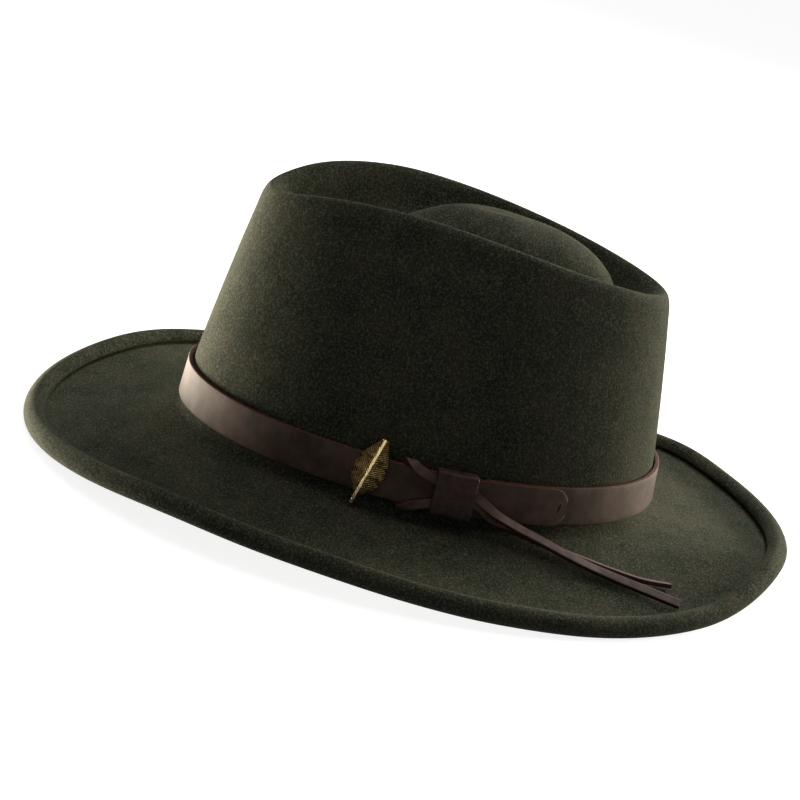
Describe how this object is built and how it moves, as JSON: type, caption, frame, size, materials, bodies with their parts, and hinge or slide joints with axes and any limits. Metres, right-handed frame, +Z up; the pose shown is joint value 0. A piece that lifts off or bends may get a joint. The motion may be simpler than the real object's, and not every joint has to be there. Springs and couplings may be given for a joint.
{
  "type": "felt fedora hat with leather band and feather pin",
  "caption": "Wool felt fedora with a teardrop crown, curled brim, leather band, laced thong in a keeper and a small brass feather pin.",
  "frame": {"origin": "middle of the brim's outline, on the surface that the brim rests on", "axes": "-Y to the front of the hat, +X to the wearer's left, +Z up"},
  "size_m": [0.2972, 0.3294, 0.1266],
  "materials": {
    "wool_felt": "napped dark olive wool felt",
    "brown_leather": "smooth matte dark brown leather",
    "red_brown_leather": "matte red-brown leather",
    "brown_thong": "dull grey-brown leather lace",
    "aged_brass": "antique brass, dark in the hollows"
  },
  "bodies": {
    "root": {"felt_body": "wool_felt", "leather_strap": "brown_leather", "keeper": "red_brown_leather", "thong": "brown_thong", "feather_pin": "aged_brass"}
  },
  "joints": []
}
